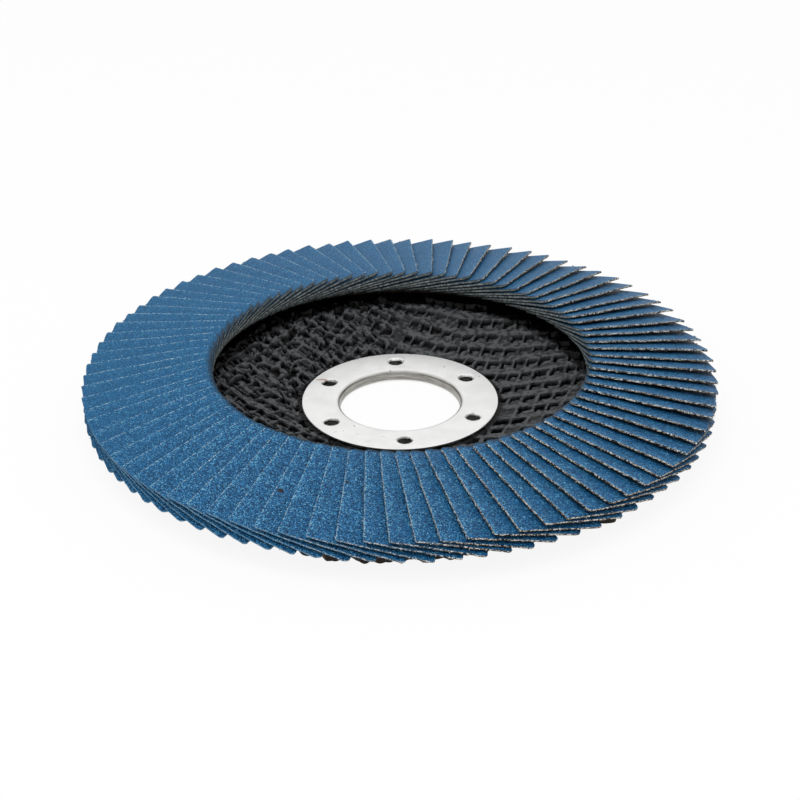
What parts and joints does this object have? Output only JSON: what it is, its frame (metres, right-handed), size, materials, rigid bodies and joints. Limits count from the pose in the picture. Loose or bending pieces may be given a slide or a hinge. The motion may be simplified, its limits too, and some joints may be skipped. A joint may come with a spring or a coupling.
{
  "type": "flap disc",
  "caption": "Conical abrasive flap disc: overlapping abrasive cloth flaps glued round a depressed-centre glass mesh plate with a steel arbor ring.",
  "frame": {"origin": "on the bore axis, on the rear seat of the arbor ring", "axes": "+Z along the bore axis, from the machine towards the abrasive face; the disc lies face up"},
  "size_m": [0.116, 0.116, 0.0122],
  "materials": {
    "glass_mesh_resin": "semi-gloss cured resin over open glass mesh",
    "epoxy": "cured filled resin",
    "plated_steel": "satin plated pressed steel",
    "abrasive_cloth": "blue resin-bonded grit on heavy cloth"
  },
  "bodies": {
    "root": {"backing_plate": "glass_mesh_resin", "adhesive_bed": "epoxy", "arbor_flange_front": "plated_steel", "arbor_flange_rear": "plated_steel", "flap_pair_01": "abrasive_cloth", "flap_pair_02": "abrasive_cloth", "flap_pair_03": "abrasive_cloth", "flap_pair_04": "abrasive_cloth", "flap_pair_05": "abrasive_cloth", "flap_pair_06": "abrasive_cloth", "flap_pair_07": "abrasive_cloth", "flap_pair_08": "abrasive_cloth", "flap_pair_09": "abrasive_cloth", "flap_pair_10": "abrasive_cloth", "flap_pair_11": "abrasive_cloth", "flap_pair_12": "abrasive_cloth", "flap_pair_13": "abrasive_cloth", "flap_pair_14": "abrasive_cloth", "flap_pair_15": "abrasive_cloth", "flap_pair_16": "abrasive_cloth", "flap_pair_17": "abrasive_cloth", "flap_pair_18": "abrasive_cloth", "flap_pair_19": "abrasive_cloth", "flap_pair_20": "abrasive_cloth", "flap_pair_21": "abrasive_cloth", "flap_pair_22": "abrasive_cloth", "flap_pair_23": "abrasive_cloth", "flap_pair_24": "abrasive_cloth", "flap_pair_25": "abrasive_cloth", "flap_pair_26": "abrasive_cloth", "flap_pair_27": "abrasive_cloth", "flap_pair_28": "abrasive_cloth", "flap_pair_29": "abrasive_cloth", "flap_pair_30": "abrasive_cloth", "flap_pair_31": "abrasive_cloth", "flap_pair_32": "abrasive_cloth", "flap_pair_33": "abrasive_cloth", "flap_pair_34": "abrasive_cloth", "flap_pair_35": "abrasive_cloth", "flap_pair_36": "abrasive_cloth", "flap_pair_37": "abrasive_cloth", "flap_pair_38": "abrasive_cloth", "flap_pair_39": "abrasive_cloth", "flap_pair_40": "abrasive_cloth", "flap_pair_41": "abrasive_cloth", "flap_pair_42": "abrasive_cloth"}
  },
  "joints": []
}
